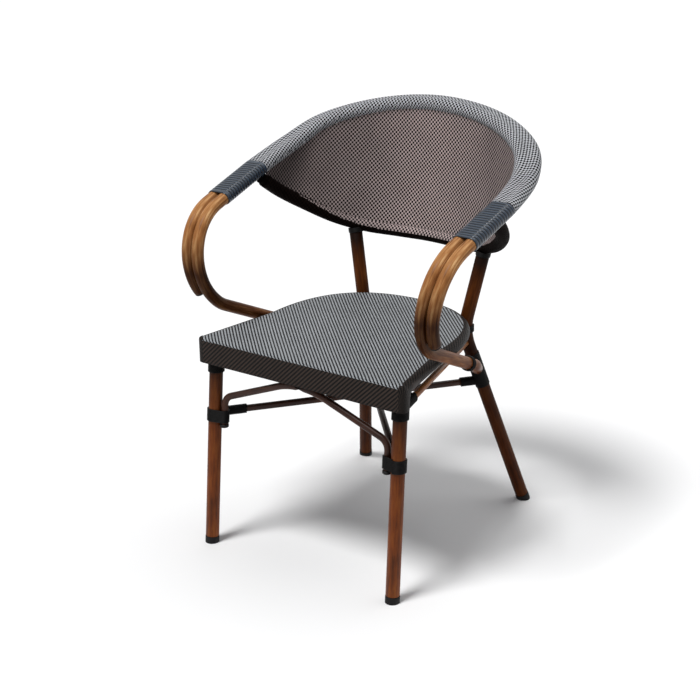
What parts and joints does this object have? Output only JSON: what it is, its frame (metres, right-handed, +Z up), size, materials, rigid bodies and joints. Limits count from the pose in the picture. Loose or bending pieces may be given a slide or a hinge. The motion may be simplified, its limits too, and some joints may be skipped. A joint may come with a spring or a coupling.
{
  "type": "bistro armchair",
  "caption": "Bistro armchair of bent rattan-look tubes lashed with black cord, with looped arms, a wrap-round woven back and a stretched woven seat.",
  "frame": {"origin": "on the floor, below the middle of the bounding box", "axes": "+Z up, the sitter faces -Y, +X towards the sitter's left hand"},
  "size_m": [0.6406, 0.5806, 0.8778],
  "materials": {
    "arm_tube": "glossy honey-brown rattan-look finish",
    "leg_tube": "satin red-brown rattan-look finish",
    "brace_tube": "satin dark brown rattan-look finish",
    "side_tube": "satin orange-brown rattan-look finish",
    "bare_tube": "bare tube, hidden by the cloth",
    "lashing": "near-black wound cord, semi-gloss",
    "winding": "glossy slate-blue flat cord",
    "glide": "matt black",
    "seat_cloth": "woven coated yarn, grey and black",
    "rail_cloth": "woven coated yarn, grey-white and black",
    "back_cloth": "woven coated yarn, brown, white and black"
  },
  "bodies": {
    "root": {"arm_end_plug_left": "lashing", "arm_end_plug_right": "lashing", "arm_inner_tube_left": "arm_tube", "arm_inner_tube_right": "arm_tube", "arm_outer_tube_left": "arm_tube", "arm_outer_tube_right": "arm_tube", "arm_winding_left": "winding", "arm_winding_right": "winding", "arm_wrap_left": "lashing", "arm_wrap_right": "lashing", "back_panel": "back_cloth", "back_wrap_left": "lashing", "back_wrap_right": "lashing", "bottom_rail": "bare_tube", "bottom_rail_cover": "rail_cloth", "brace_end_cap_left": "lashing", "brace_end_cap_right": "lashing", "cross_stretcher_left": "brace_tube", "cross_stretcher_right": "brace_tube", "front_arch_brace": "brace_tube", "front_collar_left": "lashing", "front_collar_right": "lashing", "front_glide_left": "glide", "front_glide_right": "glide", "front_leg_left": "leg_tube", "front_leg_right": "leg_tube", "front_leg_top_wrap_left": "lashing", "front_leg_top_wrap_right": "lashing", "front_low_rail": "bare_tube", "hoop_cover": "rail_cloth", "hoop_inner_tube": "bare_tube", "hoop_outer_tube": "bare_tube", "joint_spigot_inner_left": "bare_tube", "joint_spigot_inner_right": "bare_tube", "joint_spigot_outer_left": "bare_tube", "joint_spigot_outer_right": "bare_tube", "knee_wrap_left": "lashing", "knee_wrap_right": "lashing", "rear_collar_left": "lashing", "rear_collar_right": "lashing", "rear_glide_left": "glide", "rear_glide_right": "glide", "rear_leg_left": "leg_tube", "rear_leg_right": "leg_tube", "seat_frame": "bare_tube", "seat_sling": "seat_cloth", "side_tube_left": "side_tube", "side_tube_right": "side_tube", "side_tube_socket_left": "lashing", "side_tube_socket_right": "lashing", "stretcher_wrap_front_left": "lashing", "stretcher_wrap_front_right": "lashing", "stretcher_wrap_rear_left": "lashing", "stretcher_wrap_rear_right": "lashing"}
  },
  "joints": []
}
